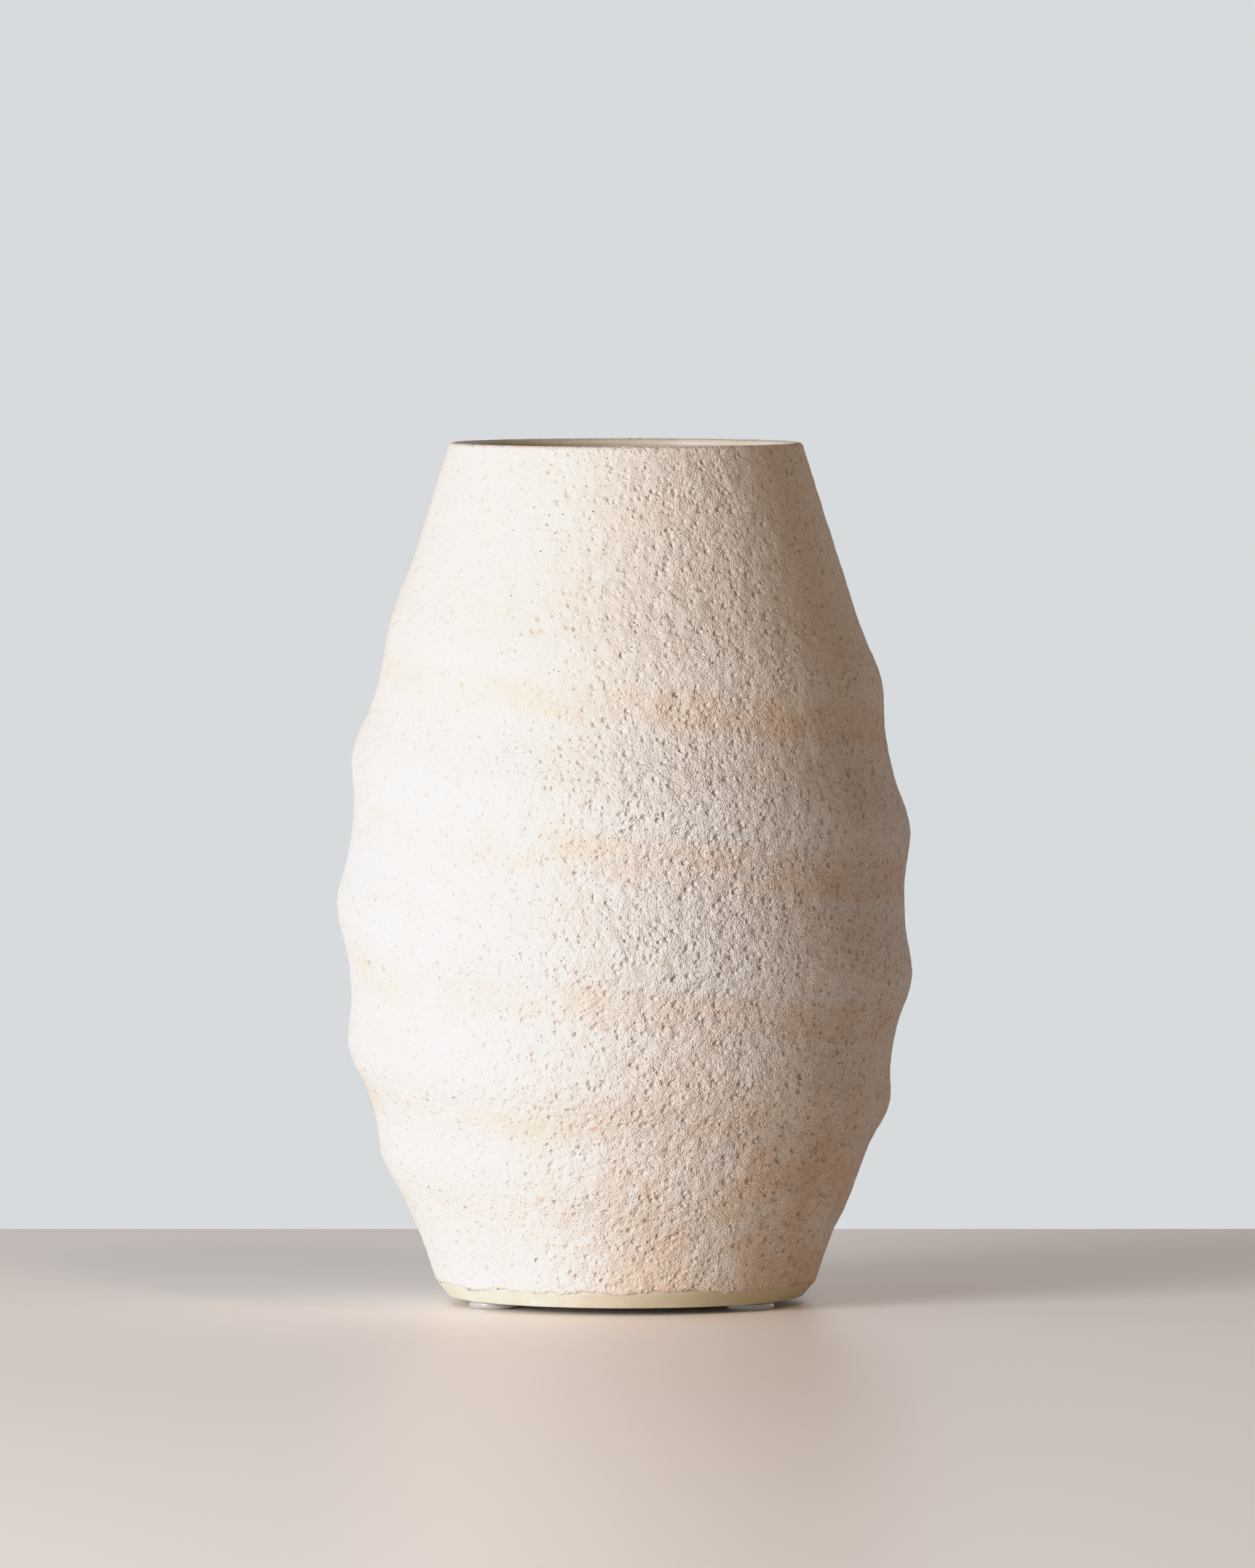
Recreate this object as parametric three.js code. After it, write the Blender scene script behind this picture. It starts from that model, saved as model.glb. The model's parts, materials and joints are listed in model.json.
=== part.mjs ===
// A wheel-thrown stoneware vase: a full belly on a narrow foot, a straight shoulder and a plain
// round lip. One throwing ridge winds up the whole wall. The clay body carries a matte outer
// glaze and a thin inner glaze, and stands on three soft pads stuck under its foot ring.
// Millimetres, +Z up. The origin is at the bottom centre, on the surface that the pads stand on.
import * as THREE from 'three';

// ---- Driving dimensions -------------------------------------------------------------------

const HEIGHT = 232; // from the table to the crest of the lip

// Stick-on pads under the foot ring
const PAD_DIAMETER = 12.7;
const PAD_HEIGHT = 1.75;
const PAD_EDGE_RADIUS = 0.85;
const FILM_DIAMETER = 12.2;
const FILM_THICKNESS = 0.25;
const PAD_RING_RADIUS = 41.2; // from the vase's axis to the middle of each pad
const PAD_ANGLES = { front_right: -36, front_left: -150, rear: 87 }; // degrees about +Z

// Clay wall and floor
const RIM_THICKNESS = 3.2;
const FOOT_THICKNESS = 6;
const FLOOR_HEIGHT = 10.5; // the top of the glazed floor inside
const CORNER_TOP = 24; // where the rounded inside corner runs into the wall
const CORNER_REACH = 24; // how far the rounded corner reaches over the floor
const CORNER_LEAN = 6; // how far the wall's line leans in before it would meet the floor

// Foot: a flat ring with a shallow hollow inside it, and a bare clay bevel round it
const FOOT_HEIGHT = PAD_HEIGHT + FILM_THICKNESS;
const FOOT_RADIUS = 48.2;
const FOOT_EDGE = 0.6;
const FOOT_RING_INNER_RADIUS = 33;
const HOLLOW_DEPTH = 1.5;
const HOLLOW_SLOPE = 4;

// Glaze coats
const GLAZE_LINE = 6; // where the outer glaze stops above the foot
const GLAZE = 0.6;
const GAP = 0.3; // clearance between a coat and the clay
const LIP_STEP = 22.5; // degrees between the facets round the lip
const GLAZE_MEETS = 5 * LIP_STEP; // how far over the lip the outer glaze comes, from outside
const LINER_MEETS = 6 * LIP_STEP; // where the inner glaze begins

// The glazed outside from the glaze line to the lip: [height, radius]
const LIP_RADIUS = RIM_THICKNESS / 2;
const OUTLINE = [
  [GLAZE_LINE, 51.1], [20, 56.1], [42, 65.8], [70, 73.2], [104, 76.2],
  [140, 73.4], [176, 65.4], [206, 55.5], [HEIGHT - LIP_RADIUS, 47.9],
];

// The throwing ridge: a left-handed spiral whose turns open out from the foot to the belly
const RIDGE_HEIGHT = 1.4;
const RIDGE_SHARPNESS = 0.15; // crests a little narrower than the valleys between them
const RIDGE_START = [15, 60]; // heights between which it grows from nothing to its full height
const RIDGE_END = [150, 215]; // heights between which it fades away
const FOOT_PITCH = { height: 24, pitch: 26 };
const BELLY_PITCH = { height: 100, pitch: 41 };

// Fineness of the facets
const COLUMNS = 32;
const WALL_ROWS = 28;
const CORNER_ROWS = 6;
const PAD_COLUMNS = 32;
const PAD_EDGE_ROWS = 4;

// ---- Profiles -----------------------------------------------------------------------------

const point = (radius, height) => new THREE.Vector2(radius, height);
const { lerp, mapLinear, smoothstep, degToRad } = THREE.MathUtils;

const outside = new THREE.SplineCurve(OUTLINE.map(([height, radius]) => point(radius, height)));
const wallRows = outside.getPoints(WALL_ROWS);
const lipCentre = point(wallRows[WALL_ROWS].x - LIP_RADIUS, wallRows[WALL_ROWS].y);

// The whole wall, glaze included, thins evenly from the foot to the lip.
function wallThickness(height) {
  return mapLinear(height, GLAZE_LINE, lipCentre.y, FOOT_THICKNESS, RIM_THICKNESS);
}

// The outside of the wall, taken in by a depth, from the glaze line up.
function outerLine(depth) {
  return wallRows.map(({ x, y }) => point(x - depth, y));
}

// Part of a round, from one angle to another (0 points out, 90 degrees up).
function arc(centre, radius, from, to, rows) {
  return Array.from({ length: rows + 1 }, (_, row) => {
    const angle = degToRad(lerp(from, to, row / rows));
    return point(centre.x + radius * Math.cos(angle), centre.y + radius * Math.sin(angle));
  });
}

// The round of the lip, sunk into the clay by a depth, in steps of LIP_STEP degrees.
function lipArc(depth, from, to) {
  return arc(lipCentre, LIP_RADIUS - depth, from, to, Math.abs(to - from) / LIP_STEP);
}

// The hollow's surface sunk into the clay by a depth: down the wall, round the corner and over
// the floor to the axis.
function innerLine(depth) {
  const wall = wallRows
    .filter(({ y }) => y > CORNER_TOP)
    .map(({ x, y }) => point(x - wallThickness(y) + depth, y))
    .reverse();
  const top = wall.at(-1);
  const floor = FLOOR_HEIGHT - depth;
  const bend = point(top.x - CORNER_LEAN, floor);
  const end = point(top.x - depth - CORNER_REACH, floor);
  const corner = new THREE.QuadraticBezierCurve(top, bend, end).getPoints(CORNER_ROWS);
  return [...wall, ...corner.slice(1), point(0, floor)];
}

// ---- The throwing ridge -------------------------------------------------------------------

// Turns of the ridge below a height: the pitch grows evenly from the foot to the belly.
function turnsBelow(height) {
  const growth = (BELLY_PITCH.pitch - FOOT_PITCH.pitch) / (BELLY_PITCH.height - FOOT_PITCH.height);
  const lower = Math.min(height, BELLY_PITCH.height);
  const pitch = FOOT_PITCH.pitch + growth * (lower - FOOT_PITCH.height);
  return Math.log(pitch / FOOT_PITCH.pitch) / growth + (height - lower) / BELLY_PITCH.pitch;
}

// How far the wall stands out at a height and an angle about the axis.
function ridgeLift(height, angle) {
  const swell = smoothstep(height, ...RIDGE_START) * (1 - smoothstep(height, ...RIDGE_END));
  const phase = 2 * Math.PI * turnsBelow(height) + angle;
  return RIDGE_HEIGHT * swell * (Math.cos(phase) + RIDGE_SHARPNESS * Math.cos(2 * phase));
}

// Every layer of the wall is pushed out alike, so that the coats keep their clearance.
function throwRidge(geometry) {
  const position = geometry.attributes.position;
  const vertex = new THREE.Vector3();
  for (let i = 0; i < position.count; i += 1) {
    vertex.fromBufferAttribute(position, i);
    const radius = Math.hypot(vertex.x, vertex.y);
    if (radius > 0) {
      const grown = radius + ridgeLift(vertex.z, Math.atan2(vertex.y, vertex.x));
      position.setXY(i, (vertex.x * grown) / radius, (vertex.y * grown) / radius);
    }
  }
  geometry.computeVertexNormals();
  return geometry;
}

// ---- Pieces -------------------------------------------------------------------------------

// A profile spun about +Z. It starts and ends on the axis, or closes on itself.
function spin(profile, columns) {
  return new THREE.LatheGeometry(profile, columns).rotateX(Math.PI / 2);
}

function stonewareBody() {
  const sunk = GLAZE + GAP;
  const hollow = FOOT_HEIGHT + HOLLOW_DEPTH;
  const base = [
    point(0, hollow),
    point(FOOT_RING_INNER_RADIUS - HOLLOW_SLOPE, hollow),
    point(FOOT_RING_INNER_RADIUS, FOOT_HEIGHT),
    point(FOOT_RADIUS - FOOT_EDGE, FOOT_HEIGHT),
    point(FOOT_RADIUS, FOOT_HEIGHT + FOOT_EDGE),
    point(wallRows[0].x - GAP, GLAZE_LINE - GAP),
    point(wallRows[0].x - sunk, GLAZE_LINE - GAP / 2),
  ];
  const outer = outerLine(sunk).slice(0, -1);
  const lip = lipArc(sunk, 0, 180);
  const inner = innerLine(sunk).slice(1);
  return throwRidge(spin([...base, ...outer, ...lip, ...inner], COLUMNS));
}

// From the glaze line up over the crest of the lip, and back down against the clay.
function outerGlaze() {
  const face = [...outerLine(0).slice(0, -1), ...lipArc(0, 0, GLAZE_MEETS)];
  const back = [...lipArc(GLAZE, GLAZE_MEETS, 0), ...outerLine(GLAZE).slice(0, -1).reverse()];
  return throwRidge(spin([...face, ...back, face[0]], COLUMNS));
}

// From the floor's middle up against the clay to the lip, and back down the hollow's face.
function linerGlaze() {
  const back = [...innerLine(GLAZE).slice(1).reverse(), ...lipArc(GLAZE, 180, LINER_MEETS)];
  const face = [...lipArc(0, LINER_MEETS, 180), ...innerLine(0).slice(1)];
  return throwRidge(spin([...back, ...face], COLUMNS));
}

function footPad() {
  const radius = PAD_DIAMETER / 2;
  const edgeCentre = point(radius - PAD_EDGE_RADIUS, PAD_EDGE_RADIUS);
  const edge = arc(edgeCentre, PAD_EDGE_RADIUS, -90, 0, PAD_EDGE_ROWS);
  return spin([point(0, 0), ...edge, point(radius, PAD_HEIGHT), point(0, PAD_HEIGHT)], PAD_COLUMNS);
}

function adhesiveFilm() {
  const radius = FILM_DIAMETER / 2;
  return new THREE.CylinderGeometry(radius, radius, FILM_THICKNESS, PAD_COLUMNS).rotateX(Math.PI / 2);
}

// ---- Materials and assembly ---------------------------------------------------------------

const clay = new THREE.MeshStandardMaterial({ color: '#cdbb98', roughness: 0.8 });
const matteGlaze = new THREE.MeshStandardMaterial({ color: '#f0eae2', roughness: 0.85 });
const satinGlaze = new THREE.MeshStandardMaterial({ color: '#e9e1d2', roughness: 0.45 });
const softPad = new THREE.MeshStandardMaterial({
  color: '#b9b0a0', roughness: 0.35, transparent: true, opacity: 0.6,
});
const adhesive = new THREE.MeshStandardMaterial({
  color: '#c4bcae', roughness: 0.3, transparent: true, opacity: 0.6,
});

const vase = new THREE.Group();

function add(name, geometry, material, x = 0, y = 0, z = 0) {
  const mesh = new THREE.Mesh(geometry, material);
  mesh.name = name;
  mesh.position.set(x, y, z);
  vase.add(mesh);
}

add('stoneware_body', stonewareBody(), clay);
add('outer_glaze', outerGlaze(), matteGlaze);
add('liner_glaze', linerGlaze(), satinGlaze);

for (const [place, degrees] of Object.entries(PAD_ANGLES)) {
  const x = PAD_RING_RADIUS * Math.cos(degToRad(degrees));
  const y = PAD_RING_RADIUS * Math.sin(degToRad(degrees));
  add(`foot_pad_${place}`, footPad(), softPad, x, y);
  add(`pad_adhesive_${place}`, adhesiveFilm(), adhesive, x, y, PAD_HEIGHT + FILM_THICKNESS / 2);
}

export default vase;
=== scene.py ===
# %% [markdown]
# # A wheel-thrown stoneware vase
#
# This lesson builds the finish of a thrown pot: a full belly on a narrow foot, one spiral throwing
# ridge, a dry crater glaze outside, a smoother glaze inside, and three clear pads under the foot.
# Everything is made the way the potter made it. A profile is spun on a wheel (one Geometry Nodes
# tree), and then glazed (procedural materials whose pits and freckles are sized in millimetres).
#
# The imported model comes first, because it says how big the vase is and where each piece sits.

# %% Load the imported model
import json
import math

import bpy
import numpy as np
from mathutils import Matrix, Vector

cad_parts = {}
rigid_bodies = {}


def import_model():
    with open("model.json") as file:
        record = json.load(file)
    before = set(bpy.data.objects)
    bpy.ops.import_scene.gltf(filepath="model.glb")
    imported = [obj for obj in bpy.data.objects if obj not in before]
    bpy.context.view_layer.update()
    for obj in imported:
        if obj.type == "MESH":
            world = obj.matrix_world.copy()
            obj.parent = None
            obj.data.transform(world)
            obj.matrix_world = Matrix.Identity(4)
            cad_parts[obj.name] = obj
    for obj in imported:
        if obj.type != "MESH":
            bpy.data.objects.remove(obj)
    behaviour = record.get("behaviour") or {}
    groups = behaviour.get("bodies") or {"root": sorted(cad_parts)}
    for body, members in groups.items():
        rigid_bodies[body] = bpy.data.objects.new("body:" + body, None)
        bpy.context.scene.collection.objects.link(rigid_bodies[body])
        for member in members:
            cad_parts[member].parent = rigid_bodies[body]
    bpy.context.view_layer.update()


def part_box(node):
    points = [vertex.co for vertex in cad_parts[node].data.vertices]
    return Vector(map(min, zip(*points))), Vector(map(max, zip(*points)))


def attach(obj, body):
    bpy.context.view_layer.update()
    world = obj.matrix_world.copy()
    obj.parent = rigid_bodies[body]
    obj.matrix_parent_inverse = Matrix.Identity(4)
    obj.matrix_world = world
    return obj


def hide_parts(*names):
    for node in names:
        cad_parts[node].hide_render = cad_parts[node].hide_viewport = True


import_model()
scene = bpy.context.scene
MM = 0.001

foot_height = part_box("stoneware_body")[0].z
glaze_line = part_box("outer_glaze")[0].z
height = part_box("outer_glaze")[1].z
print(f"foot ring at {foot_height / MM:.2f} mm, glaze line at {glaze_line / MM:.2f} mm")
print(f"lip at {height / MM:.1f} mm")

# %% [markdown]
# ## The camera
#
# A long lens from far away keeps the two sides of the vase almost parallel. It stands a little
# above the lip and looks slightly down, so that the mouth shows as a thin sliver.

# %% Camera
CAMERA_DISTANCE = 4.2
CAMERA_HEIGHT = 0.3346
CAMERA_PITCH = math.radians(2.654)
CAMERA_SIDE = 0.4 * MM
LENS = 358.2  # mm of focal length
SENSOR_WIDTH = 36  # mm

camera_data = bpy.data.cameras.new("camera")
camera_data.lens = LENS
camera_data.sensor_width = SENSOR_WIDTH
camera = bpy.data.objects.new("camera", camera_data)
camera.location = (CAMERA_SIDE, -CAMERA_DISTANCE, CAMERA_HEIGHT)
camera.rotation_euler = (math.pi / 2 - CAMERA_PITCH, 0, 0)
scene.collection.objects.link(camera)
scene.camera = camera
print(f"camera {CAMERA_DISTANCE} m away, {LENS} mm lens")

# %% [markdown]
# ## Whites that don't burn out
#
# The vase is nearly white and brightly lit from one side. A plain display transform would clip
# that side to a flat patch. A curve over the brightness leaves the darker tones as they are and
# rolls the bright ones off gently, as film does. Its last point has to be moved out first, because
# a new curve ends at a brightness of 1.

# %% Highlight curve
HIGHLIGHTS = ((0.7, 0.7), (0.87, 0.84), (1.12, 0.915), (1.5, 0.957), (3.0, 1.0))
ALL_CHANNELS = 3  # the combined curve, after those for red, green and blue

scene.view_settings.view_transform = "Standard"
scene.view_settings.use_curve_mapping = True
tones = scene.view_settings.curve_mapping
tones.clip_max_x = HIGHLIGHTS[-1][0]
tone_points = tones.curves[ALL_CHANNELS].points
tone_points[-1].location = HIGHLIGHTS[-1]
for bright, shown in HIGHLIGHTS[:-1]:
    tone_points.new(bright, shown)
tones.update()
print(f"whites up to {HIGHLIGHTS[-1][0]} times display white are kept")

# %% [markdown]
# ## Two small helpers
#
# Colours are easiest to pick as the hex values of a colour picker, but shaders want linear light,
# so one function turns them. The other function adds a node to a tree: settings go on the node,
# and each input takes either a value or the node that feeds it.

# %% Helpers for colours and nodes
def linear(hex_colour):
    channels = [int(hex_colour[i:i + 2], 16) / 255 for i in (1, 3, 5)]
    return [c / 12.92 if c <= 0.04045 else ((c + 0.055) / 1.055) ** 2.4 for c in channels] + [1]


def add(tree, kind, inputs=None, **settings):
    node = tree.nodes.new(kind)
    for name, value in settings.items():
        setattr(node, name, value)
    sockets = {socket.identifier: socket for socket in node.inputs}
    for key, value in (inputs or {}).items():
        socket = node.inputs[key] if isinstance(key, int) else sockets[key]
        source = value.outputs[0] if hasattr(value, "outputs") else value
        if isinstance(source, bpy.types.NodeSocket):
            tree.links.new(source, socket)
        else:
            socket.default_value = source
    return node


MATH = "ShaderNodeMath"
VECTOR = "ShaderNodeVectorMath"
RANGE = "ShaderNodeMapRange"
NOISE = "ShaderNodeTexNoise"
VORONOI = "ShaderNodeTexVoronoi"
MIX = "ShaderNodeMix"

# %% [markdown]
# ## Table and light
#
# The vase stands on a plain pale table top. One big soft window on the left and a little in front
# does nearly all the lighting, so the left of the pot is bright, the right falls into warm shade,
# and the light rakes over the glaze just where its pits are easiest to read. Four weak lights
# stand for what the room sends back: cool from the window's own side and from a far window
# behind, warm from the wall and the ceiling.

# %% Table
TABLE_FRONT = -1.3
TABLE_BACK = 0.263
TABLE_HALF_WIDTH = 1.6

table_mesh = bpy.data.meshes.new("table_top")
corners = [(-TABLE_HALF_WIDTH, TABLE_FRONT, 0), (TABLE_HALF_WIDTH, TABLE_FRONT, 0),
           (TABLE_HALF_WIDTH, TABLE_BACK, 0), (-TABLE_HALF_WIDTH, TABLE_BACK, 0)]
table_mesh.from_pydata(corners, [], [(0, 1, 2, 3)])
table = bpy.data.objects.new("table_top", table_mesh)
scene.collection.objects.link(table)

table_paint = bpy.data.materials.new("pale_satin_table")
table_paint.use_nodes = True
table_shader = table_paint.node_tree.nodes["Principled BSDF"]
table_shader.inputs["Base Color"].default_value = linear("#fbf3ea")
table_shader.inputs["Roughness"].default_value = 0.38
table_mesh.materials.append(table_paint)

# %% Window, fill and room
def soft_light(name, place, target, size, power, hex_colour):
    data = bpy.data.lights.new(name, "AREA")
    data.shape = "DISK"
    data.size = size
    data.energy = power
    data.color = linear(hex_colour)[:3]
    light = bpy.data.objects.new(name, data)
    light.location = place
    light.rotation_euler = (Vector(target) - Vector(place)).to_track_quat("-Z", "Y").to_euler()
    scene.collection.objects.link(light)


middle = (0, 0, height / 2)
soft_light("window", (-1.4, -1.35, 0.44), middle, 1.1, 52, "#f8f8ff")
soft_light("window_side", (-1.6, 0.0, 0.4), middle, 0.9, 4, "#f6f8ff")
soft_light("warm_wall", (1.5, 0.35, 0.4), middle, 0.9, 1.6, "#ffe6d2")
soft_light("far_window", (1.1, 1.3, 0.35), middle, 0.9, 3.5, "#eef1ff")
soft_light("ceiling", (0.6, -0.8, 1.5), middle, 0.25, 3.6, "#ffcfa4")

world = bpy.data.worlds.new("room")
scene.world = world
world.use_nodes = True
room = world.node_tree
room.nodes.clear()
# the camera and reflections see a pale wall, and all else gets a dim warm light
seen = add(room, "ShaderNodeBackground", {"Color": linear("#d8dbdd"), "Strength": 1.0})
lit = add(room, "ShaderNodeBackground", {"Color": linear("#ffd4b3"), "Strength": 0.05})
ray = add(room, "ShaderNodeLightPath").outputs
wall_shows = add(room, MATH, {0: ray["Is Camera Ray"], 1: ray["Is Glossy Ray"]}, operation="MAXIMUM")
backdrop = add(room, "ShaderNodeMixShader", {0: wall_shows, 1: lit, 2: seen})
add(room, "ShaderNodeOutputWorld", {"Surface": backdrop})
print("table, five soft lights and a pale room")

# %% [markdown]
# ## The wall as the potter left it
#
# The outside is a smooth curve through a few heights and radii. Two things change along it: how
# many turns the throwing ridge has made below each height, and how strongly the ridge stands out.
# Near the foot the potter lifted slowly, so the turns are close together; up the belly they open.
# All of this is worked out once here, in metres, and every piece of the pot uses it.

# %% Outline and throwing ridge
RIM_THICKNESS = 3.2 * MM
FOOT_THICKNESS = 6 * MM
LIP_RADIUS = RIM_THICKNESS / 2
OUTLINE = np.array([
    (glaze_line, 51.1 * MM), (20 * MM, 56.1 * MM), (42 * MM, 65.8 * MM), (70 * MM, 73.2 * MM),
    (104 * MM, 76.2 * MM), (140 * MM, 73.4 * MM), (176 * MM, 65.4 * MM), (206 * MM, 55.5 * MM),
    (height - LIP_RADIUS, 47.9 * MM),
])
RIDGE_HEIGHT = 1.4 * MM
RIDGE_SHARPNESS = 0.15
RIDGE_START = (15 * MM, 60 * MM)
RIDGE_END = (150 * MM, 215 * MM)
FOOT_PITCH = (24 * MM, 26 * MM)
BELLY_PITCH = (100 * MM, 41 * MM)
THIN_COAT_AND_SHADE_PHASE = 0.8  # thin coat and painted shade, a little above the bottom of each valley


def smooth_curve(points, steps):
    """A Catmull-Rom curve through points, as rows of (height, radius)."""
    padded = np.vstack([points[:1], points, points[-1:]])
    rows = []
    for k in range(len(points) - 1):
        before, start, end, after = padded[k:k + 4]
        t = np.linspace(0, 1, steps, endpoint=False)[:, None]
        leave, arrive = (end - before) / 2, (after - start) / 2
        rows.append((2 * start - 2 * end + leave + arrive) * t ** 3
                    + (3 * end - 3 * start - 2 * leave - arrive) * t ** 2 + leave * t + start)
    return np.vstack(rows + [points[-1:]])


def spaced(line, count):
    """The same line with count points, evenly far apart."""
    along = np.concatenate([[0], np.cumsum(np.linalg.norm(np.diff(line, axis=0), axis=1))])
    even = np.linspace(0, along[-1], count)
    return np.stack([np.interp(even, along, line[:, k]) for k in (0, 1)], axis=1)


def smoothstep(low, high, value):
    t = np.clip((value - low) / (high - low), 0, 1)
    return t * t * (3 - 2 * t)


def turns_below(z):
    growth = (BELLY_PITCH[1] - FOOT_PITCH[1]) / (BELLY_PITCH[0] - FOOT_PITCH[0])
    lower = np.minimum(z, BELLY_PITCH[0])
    pitch = FOOT_PITCH[1] + growth * (lower - FOOT_PITCH[0])
    return np.log(pitch / FOOT_PITCH[1]) / growth + (z - lower) / BELLY_PITCH[1]


outside = smooth_curve(OUTLINE, 40)
lip_centre = np.array([outside[-1, 1] - LIP_RADIUS, outside[-1, 0]])
print(f"outline of {len(outside)} points, ridge makes {turns_below(height):.1f} turns")

# %% [markdown]
# ## Profiles to spin
#
# Each piece of the pot is a closed loop in the half plane: radius across, height up. The outer
# glaze goes up the outside, over the lip, and back down against the clay. The rows are close
# together where the surface shows and wide apart where clay hides it. Each point also says how
# much of the glaze's relief it carries, from 0 against the clay to 1 on the open wall.

# %% Profile of the outer glaze
GLAZE = 0.6 * MM
EDGE_GLAZE = 0.14 * MM
CLEARANCE = 0.04 * MM
GLAZE_MEETS = math.radians(118)
WIPED_BAND = 9 * MM  # height over which the coat grows from its wiped edge to full thickness
SMOOTH_BAND = 4 * MM  # height over which the relief grows above the glaze line
SMOOTH_LIP = 6 * MM  # and over which it fades below the lip
WALL_ROWS = 196
HIDDEN_ROWS = 26


def arc(centre, radius, start, end, count):
    angles = np.linspace(start, end, count)
    return np.stack([centre[0] + radius * np.cos(angles), centre[1] + radius * np.sin(angles)], axis=1)


def wall_line(depth, count):
    """The outside sunk by a depth, which may change with height, as (radius, height) points."""
    line = spaced(outside, count)
    sunk = depth(line[:, 0]) if callable(depth) else depth
    return np.stack([line[:, 1] - sunk, line[:, 0]], axis=1)


def coat_depth(z):
    """The glaze is thin where it was wiped off above the foot."""
    return EDGE_GLAZE + (GLAZE - EDGE_GLAZE) * smoothstep(glaze_line, glaze_line + WIPED_BAND, z)


face = wall_line(0, WALL_ROWS)
lip_over = arc(lip_centre, LIP_RADIUS, 0, GLAZE_MEETS, 9)[1:]
lip_under = arc(lip_centre, LIP_RADIUS - GLAZE, GLAZE_MEETS, 0, 7)
back = wall_line(coat_depth, HIDDEN_ROWS)[::-1][1:]
outer_loop = np.vstack([face, lip_over, lip_under, back])
edge_fade = smoothstep(glaze_line, glaze_line + SMOOTH_BAND, face[:, 1])
lip_fade = 1 - 0.6 * smoothstep(height - SMOOTH_LIP, height, face[:, 1])
outer_relief = np.concatenate([
    (0.35 + 0.65 * edge_fade) * lip_fade,
    np.linspace(0.4, 0.1, len(lip_over)),
    np.zeros(len(lip_under) + len(back)),
])
print(f"outer glaze: {len(outer_loop)} rows")

# %% [markdown]
# The inner glaze is the same wall seen from inside, less its thickness, down to a rounded corner
# and a flat floor. The clay body fills what is between the two coats, and adds the foot: a bare
# bevelled band, a flat ring to stand on, and a shallow hollow with a few turning rings.

# %% Profiles of the inner glaze and the clay
FLOOR_HEIGHT = 10.5 * MM
CORNER_TOP = 24 * MM
CORNER_REACH = 24 * MM
CORNER_LEAN = 6 * MM
FOOT_RADIUS = 48.2 * MM
FOOT_EDGE = 0.9 * MM
RING_INNER_RADIUS = 33 * MM
HOLLOW_DEPTH = 1.5 * MM
TURNING_RING = 0.12 * MM
TURNING_SPACING = 4.2 * MM
HOLLOW_SLOPE = 4 * MM  # how far the slope from the ring to the hollow reaches
TURNING_ROWS = 40


def wall_thickness(z):
    share = (z - glaze_line) / (outside[-1, 0] - glaze_line)
    return FOOT_THICKNESS + (RIM_THICKNESS - FOOT_THICKNESS) * share


def inner_line(depth, wall_rows, corner_rows, floor_rows):
    """The hollow's surface sunk into the clay: down the wall, round the corner, to the axis."""
    wall = outside[outside[:, 0] > CORNER_TOP]
    inner_radius = wall[:, 1] - wall_thickness(wall[:, 0]) + depth
    wall = spaced(np.stack([wall[:, 0], inner_radius], axis=1), wall_rows)
    top = wall[0][::-1]
    floor = FLOOR_HEIGHT - depth
    bend = np.array([top[0] - CORNER_LEAN, floor])
    end = np.array([top[0] - depth - CORNER_REACH, floor])
    t = np.linspace(0, 1, corner_rows)[1:, None]
    corner = top * (1 - t) ** 2 + 2 * bend * t * (1 - t) + end * t ** 2
    radii = np.linspace(end[0], 0, floor_rows)[1:]
    flat = np.stack([radii, np.full(len(radii), floor)], axis=1)
    return np.vstack([wall[::-1, ::-1], corner, flat])


liner_face = inner_line(0, 130, 14, 12)
LINER_MEETS = GLAZE_MEETS + math.radians(0.6)
liner_lip = arc(lip_centre, LIP_RADIUS, LINER_MEETS, math.pi, 6)[:-1]
liner_lip_under = arc(lip_centre, LIP_RADIUS - GLAZE, math.pi, LINER_MEETS, 5)
liner_back = inner_line(GLAZE, 30, 8, 3)[::-1][:-1]
liner_loop = np.vstack([liner_back, liner_lip_under, liner_lip, liner_face])
liner_relief = np.concatenate([
    np.zeros(len(liner_back) + len(liner_lip_under)),
    np.linspace(0.1, 1, len(liner_lip)),
    np.ones(len(liner_face)),
])


def clay_depth(z):
    return coat_depth(z) + CLEARANCE


hollow_radii = np.linspace(0, RING_INNER_RADIUS - HOLLOW_SLOPE, TURNING_ROWS)
rings = TURNING_RING * (1 - np.cos(2 * math.pi * hollow_radii / TURNING_SPACING)) / 2
hollow = np.stack([hollow_radii, foot_height + HOLLOW_DEPTH - rings], axis=1)
slope_end = (RING_INNER_RADIUS - 0.6 * MM, foot_height + 0.1 * MM)
ring_edge = spaced(np.array([hollow[-1], slope_end]), 8)[1:]
standing = np.array([(RING_INNER_RADIUS, foot_height), (FOOT_RADIUS - FOOT_EDGE, foot_height)])
foot_round = arc(standing[1] + (0, FOOT_EDGE), FOOT_EDGE, -math.pi / 2, -math.pi / 5, 6)[1:]
band_top = (outside[0, 1] - 0.25 * MM, glaze_line - 0.2 * MM)
band = spaced(np.array([foot_round[-1], band_top]), 12)[1:]
clay_outer = wall_line(clay_depth, 60)
clay_lip = arc(lip_centre, LIP_RADIUS - GLAZE - CLEARANCE, 0, math.pi, 9)[1:-1]
clay_inner = inner_line(GLAZE + CLEARANCE, 30, 8, 3)
foot_rows = [hollow, ring_edge, standing, foot_round, band]
clay_loop = np.vstack([*foot_rows, clay_outer, clay_lip, clay_inner])
print(f"inner glaze: {len(liner_loop)} rows, clay body: {len(clay_loop)} rows")

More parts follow.
